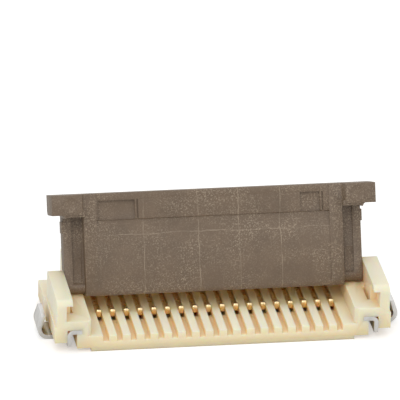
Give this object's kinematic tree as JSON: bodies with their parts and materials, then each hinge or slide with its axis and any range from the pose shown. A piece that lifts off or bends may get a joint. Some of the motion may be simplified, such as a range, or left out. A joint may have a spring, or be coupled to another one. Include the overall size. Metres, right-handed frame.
{
  "type": "fpc connector",
  "caption": "Right-angle surface-mount connector for a flat flexible cable, with a row of gold contacts, two solder fittings and a flip lock lever.",
  "frame": {"origin": "on the circuit board's surface, under the middle of the housing's footprint", "axes": "+X along the row of contacts, -Y towards the side where the cable enters, +Y towards the solder tails, +Z away from the board"},
  "size_m": [0.0132, 0.0048, 0.0049],
  "materials": {
    "housing": "satin cream moulded plastic",
    "lever": "mottled grey-brown glass-filled plastic",
    "fitting": "matt tin plate on sheet",
    "contact": "gold plate on stamped copper alloy"
  },
  "bodies": {
    "base": {"housing": "housing", "fitting_left": "fitting", "fitting_right": "fitting", "contact_01": "contact", "contact_02": "contact", "contact_03": "contact", "contact_04": "contact", "contact_05": "contact", "contact_06": "contact", "contact_07": "contact", "contact_08": "contact", "contact_09": "contact", "contact_10": "contact", "contact_11": "contact", "contact_12": "contact", "contact_13": "contact", "contact_14": "contact", "contact_15": "contact", "contact_16": "contact", "contact_17": "contact", "contact_18": "contact"},
    "flip_lock": {"lever": "lever"}
  },
  "joints": [
    {"name": "lever_hinge", "type": "hinge", "parent": "base", "child": "flip_lock", "pos_m": [0, 0.00008, 0.00142], "axis": [1, 0, 0], "range_deg": [0, 112.5]}
  ]
}
